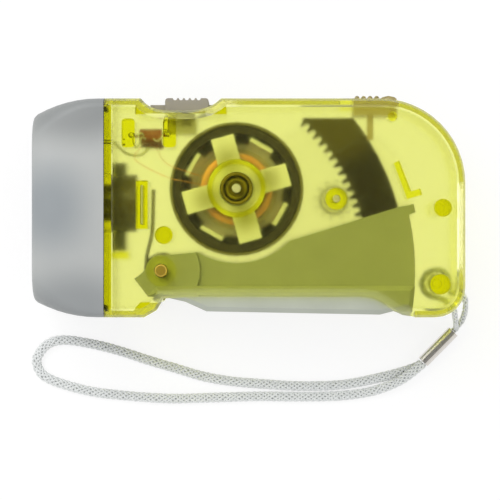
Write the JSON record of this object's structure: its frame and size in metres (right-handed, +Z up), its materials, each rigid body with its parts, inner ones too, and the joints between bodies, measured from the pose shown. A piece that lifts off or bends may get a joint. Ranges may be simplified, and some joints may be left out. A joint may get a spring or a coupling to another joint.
{
  "type": "squeeze lever dynamo torch",
  "caption": "Flat palm-sized torch with a clear case, a squeeze lever that spins a dynamo flywheel through gears, a lamp hood and a wrist strap.",
  "frame": {"origin": "under the middle of the torch on the surface it lies on, without its wrist strap", "axes": "+X towards the rear end, -X towards the lamp, +Y away from the squeeze lever, +Z up out of the near side of the case"},
  "size_m": [0.1102, 0.0769, 0.03],
  "materials": {
    "yellow_case": "clear moulded",
    "grey_hood": "satin moulded",
    "clear_lens": "clear",
    "chrome_reflector": "bright plated",
    "led_epoxy": "clear",
    "circuit_board": "solder mask",
    "black_sleeve": "shrunk sleeve",
    "black_plastic": "moulded",
    "plated_steel": "tin plated",
    "diode_body": "glossy",
    "wire_insulation": "satin",
    "enamelled_copper": "enamelled",
    "taupe_plastic": "fine texture",
    "brass_screw": "turned",
    "grey_lever": "satin moulded",
    "spring_steel": "drawn wire",
    "black_nylon": "satin",
    "white_nylon": "satin",
    "ferrite": "sintered",
    "bobbin_nylon": "satin",
    "strap_braid": "braided"
  },
  "bodies": {
    "housing": {"far_case_half": "yellow_case", "near_case_half": "yellow_case", "lamp_hood": "grey_hood", "front_lens": "clear_lens", "reflector": "chrome_reflector", "led_1": "led_epoxy", "led_2": "led_epoxy", "led_3": "led_epoxy", "lamp_board": "circuit_board", "battery_pack": "black_sleeve", "battery_cradle": "black_plastic", "battery_contact": "plated_steel", "rectifier_diode": "diode_body", "lamp_wire": "wire_insulation", "coil_lead_1": "enamelled_copper", "coil_lead_2": "enamelled_copper", "switch_block": "black_plastic", "pivot_screw": "brass_screw", "lever_spring": "spring_steel", "gear_axle": "plated_steel", "flywheel_axle": "plated_steel", "stator_front_claw": "plated_steel", "stator_rear_claw": "plated_steel", "coil_bobbin": "bobbin_nylon", "coil_inner_layers": "enamelled_copper", "coil_outer_layer": "enamelled_copper", "strap_ferrule": "plated_steel", "strap_anchor_cord": "strap_braid", "wrist_strap": "strap_braid"},
    "lever": {"squeeze_lever": "grey_lever", "sector_gear": "black_nylon"},
    "drive_gear": {"main_gear": "white_nylon", "drive_pinion": "white_nylon", "clutch_spring": "spring_steel"},
    "flywheel": {"flywheel_cup": "black_plastic", "ring_magnet": "ferrite"},
    "switch": {"switch_knob": "taupe_plastic"},
    "lock": {"lock_slider": "taupe_plastic"}
  },
  "joints": [
    {"name": "flywheel_spin", "type": "hinge", "parent": "housing", "child": "flywheel", "pos_m": [-0.00294, 0.00412, 0.0145], "axis": [0, 0, 1], "range_deg": [0, 1101]},
    {"name": "gear_spin", "type": "hinge", "parent": "housing", "child": "drive_gear", "pos_m": [0.02123, 0.00158, 0.006], "axis": [0, 0, 1], "range_deg": [-250.25, 0]},
    {"name": "lever_swing", "type": "hinge", "parent": "housing", "child": "lever", "pos_m": [-0.0212, -0.0158, 0.0165], "axis": [0, 0, 1], "range_deg": [-21, 0], "stiffness_Nm_per_rad": 0.05, "springref_deg": -45.84, "deforming": ["lever_spring"]},
    {"name": "switch_slide", "type": "slide", "parent": "housing", "child": "switch", "axis": [1, 0, 0], "range_m": [-0.0022, 0]},
    {"name": "lock_slide", "type": "slide", "parent": "housing", "child": "lock", "axis": [1, 0, 0], "range_m": [-0.003, 0]}
  ],
  "couplings": [
    {"joint": "gear_spin", "follows": "flywheel_spin", "ratio": -0.22727},
    {"joint": "lever_swing", "follows": "flywheel_spin", "ratio": -0.019072}
  ]
}
